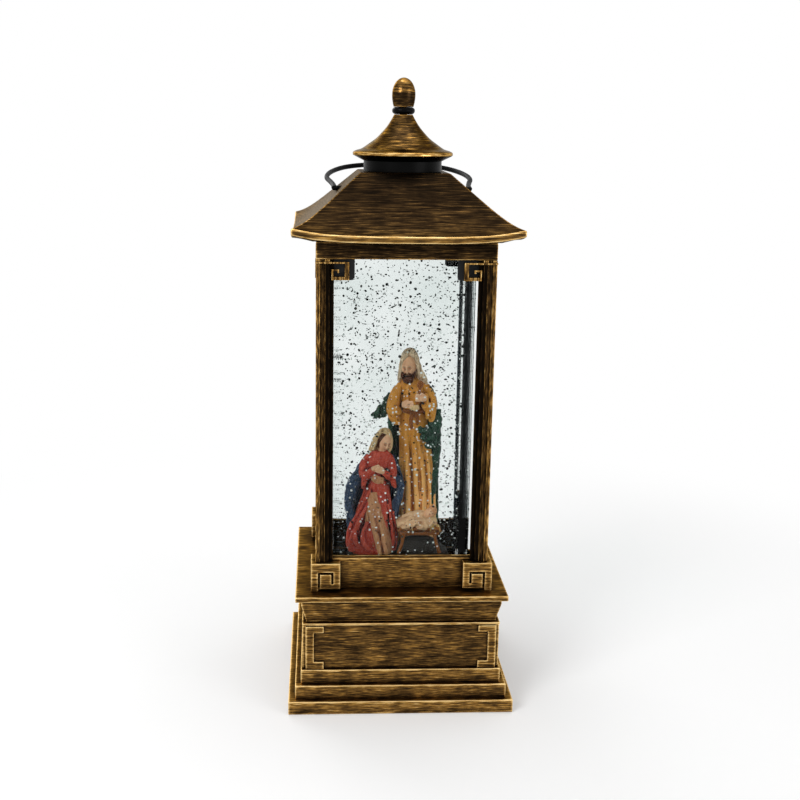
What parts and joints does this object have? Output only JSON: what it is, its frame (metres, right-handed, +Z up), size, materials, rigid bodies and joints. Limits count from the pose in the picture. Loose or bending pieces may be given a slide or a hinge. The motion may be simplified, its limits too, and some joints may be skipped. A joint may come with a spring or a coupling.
{
  "type": "led lantern",
  "caption": "Square battery lantern with a clear water-filled tank holding a figure group, a flared roof, a wire bail and a stepped base.",
  "frame": {"origin": "middle of the base's underside, on the floor plane, under the tank's axis", "axes": "+Z up along the tank's axis; the front, beside the battery door's hinge, faces -Y; +X to the right seen from the front"},
  "size_m": [0.1016, 0.1166, 0.28],
  "materials": {
    "bronze_plastic": "dark brown plastic, dry-brushed with gold",
    "bright_bronze_plastic": "gold-brushed plastic with dark grooves",
    "black_plastic": "plain black moulding",
    "white_plastic": "smooth white moulding",
    "clear_plastic": "clear acrylic",
    "water": "clear water",
    "screw_steel": "zinc-plated",
    "spring_steel": "nickel-plated spring strip",
    "cell": "printed jacket, plain",
    "board": "green solder mask",
    "lamp": "clear moulded lens",
    "red_lead": "insulated wire",
    "black_lead": "insulated wire",
    "motor_can": "drawn can",
    "plug_rubber": "moulded plug",
    "figure_ground": "painted cast resin",
    "standing_paint": "painted cast resin",
    "kneeling_paint": "painted cast resin",
    "manger_paint": "painted cast resin",
    "infant_paint": "painted cast resin",
    "black_wire": "black lacquered steel wire"
  },
  "bodies": {
    "lantern": {"base_housing": "bronze_plastic", "base_top": "bronze_plastic", "bottom_cover": "black_plastic", "bottom_screw_1": "screw_steel", "bottom_screw_2": "screw_steel", "bottom_screw_3": "screw_steel", "bottom_screw_4": "screw_steel", "battery_1": "cell", "battery_2": "cell", "battery_3": "cell", "contact_plus": "spring_steel", "contact_link_left": "spring_steel", "contact_link_right": "spring_steel", "contact_minus": "spring_steel", "switch_body": "black_plastic", "circuit_board": "board", "led_1": "lamp", "led_2": "lamp", "battery_lead_red": "red_lead", "battery_lead_black": "black_lead", "motor_lead": "black_lead", "led_lead_1": "red_lead", "led_lead_2": "red_lead", "motor": "motor_can", "motor_bracket": "black_plastic", "tank": "clear_plastic", "tank_floor": "clear_plastic", "filler_plug": "plug_rubber", "water": "water", "figure_base": "figure_ground", "standing_figure": "standing_paint", "kneeling_figure": "kneeling_paint", "manger": "manger_paint", "infant": "infant_paint", "lower_frame": "bronze_plastic", "corner_block_1": "bright_bronze_plastic", "corner_block_2": "bright_bronze_plastic", "corner_block_3": "bright_bronze_plastic", "corner_block_4": "bright_bronze_plastic", "corner_post_1": "bronze_plastic", "corner_post_2": "bronze_plastic", "corner_post_3": "bronze_plastic", "corner_post_4": "bronze_plastic", "tank_pad_1": "black_plastic", "tank_pad_2": "black_plastic", "tank_pad_3": "black_plastic", "tank_pad_4": "black_plastic", "upper_frame": "bronze_plastic", "roof": "bronze_plastic", "cap": "bronze_plastic", "finial_ring": "black_plastic", "finial_knob": "bronze_plastic"},
    "bail": {"bail": "black_wire"},
    "door": {"battery_door": "black_plastic"},
    "switch": {"switch_slider": "white_plastic"},
    "rotor": {"drive_rotor": "white_plastic"},
    "impeller": {"impeller": "white_plastic"}
  },
  "joints": [
    {"name": "bail_pivot", "type": "hinge", "parent": "lantern", "child": "bail", "pos_m": [0, 0, 0.2315], "axis": [1, 0, 0], "range_deg": [-10, 175]},
    {"name": "battery_door_hinge", "type": "hinge", "parent": "lantern", "child": "door", "pos_m": [0, -0.0417, 0.0009], "axis": [-1, 0, 0], "range_deg": [0, 95]},
    {"name": "switch_slide", "type": "slide", "parent": "lantern", "child": "switch", "axis": [1, 0, 0], "range_m": [-0.0019, 0.0019]},
    {"name": "rotor_spin", "type": "hinge", "parent": "lantern", "child": "rotor", "pos_m": [0, 0, 0.045], "axis": [0, 0, 1], "continuous": true},
    {"name": "impeller_spin", "type": "hinge", "parent": "lantern", "child": "impeller", "pos_m": [0, 0, 0.0562], "axis": [0, 0, 1], "continuous": true}
  ],
  "couplings": [
    {"joint": "impeller_spin", "follows": "rotor_spin", "ratio": 1}
  ]
}
